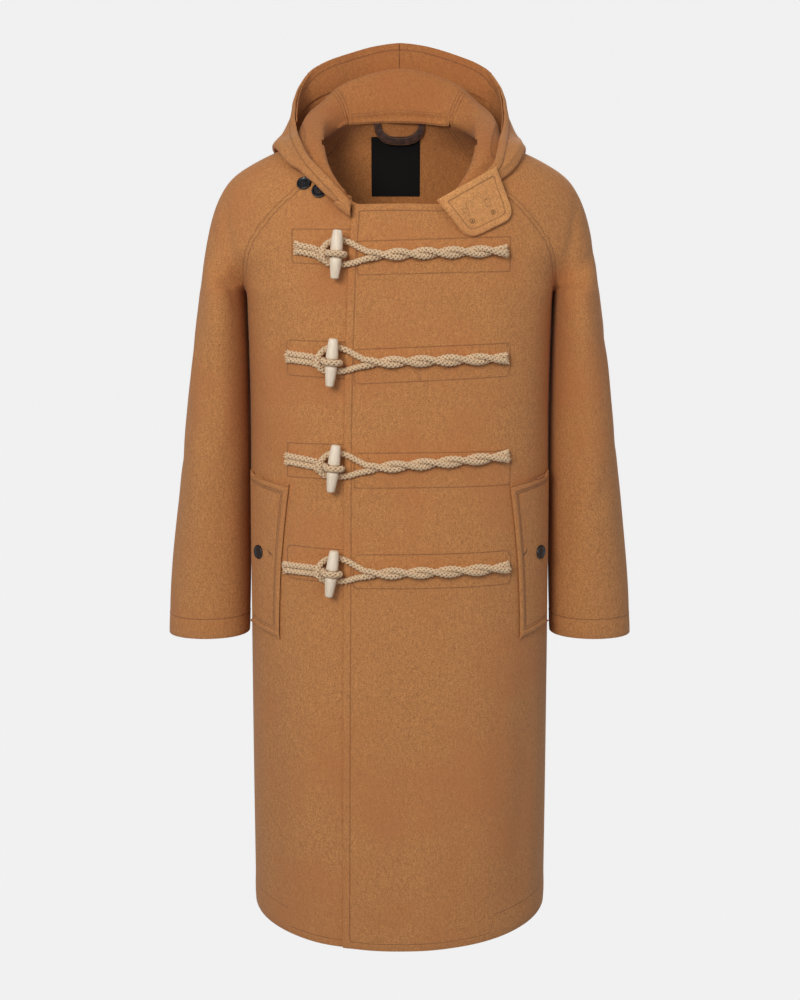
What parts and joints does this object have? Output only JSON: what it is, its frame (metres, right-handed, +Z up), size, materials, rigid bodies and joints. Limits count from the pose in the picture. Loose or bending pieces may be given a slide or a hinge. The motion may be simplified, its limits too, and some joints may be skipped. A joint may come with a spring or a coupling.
{
  "type": "duffle coat",
  "caption": "Hooded wool duffle coat standing in its worn form, closed in front by wooden toggles in rope loops, with raglan sleeves, welt pockets and a throat tab.",
  "frame": {"origin": "middle of the opening at the base of the neck, where the coat rests round the wearer's neck", "axes": "+Z up along the wearer's spine, -Y the way the wearer faces, +X towards the wearer's left arm"},
  "size_m": [0.707, 0.3566, 1.3336],
  "materials": {
    "wool": "heavy brushed wool cloth, matte",
    "wool_light": "heavy brushed wool cloth, lighter, matte",
    "wool_lining": "brushed wool cloth, matte",
    "rope": "twisted jute rope, rough",
    "toggle_wood": "turned pale wood, satin",
    "button_horn": "near-black horn, satin",
    "hanger_leather": "dark brown leather, satin",
    "label_weave": "black woven label, matte"
  },
  "bodies": {
    "root": {"back": "wool", "front_left": "wool", "front_right": "wool", "sleeve_left": "wool", "sleeve_right": "wool", "hood_left": "wool", "hood_right": "wool", "hood_centre": "wool", "hood_facing_left": "wool_lining", "hood_facing_right": "wool_lining", "neck_tape": "wool_lining", "hanger_loop": "hanger_leather", "label": "label_weave", "throat_tab": "wool_light", "pocket_left": "wool", "pocket_right": "wool", "pocket_button_left": "button_horn", "pocket_button_right": "button_horn", "tab_button_1": "button_horn", "tab_button_2": "button_horn", "toggle_1": "toggle_wood", "short_cord_1": "rope", "loop_cord_1": "rope", "toggle_2": "toggle_wood", "short_cord_2": "rope", "loop_cord_2": "rope", "toggle_3": "toggle_wood", "short_cord_3": "rope", "loop_cord_3": "rope", "toggle_4": "toggle_wood", "short_cord_4": "rope", "loop_cord_4": "rope"}
  },
  "joints": []
}
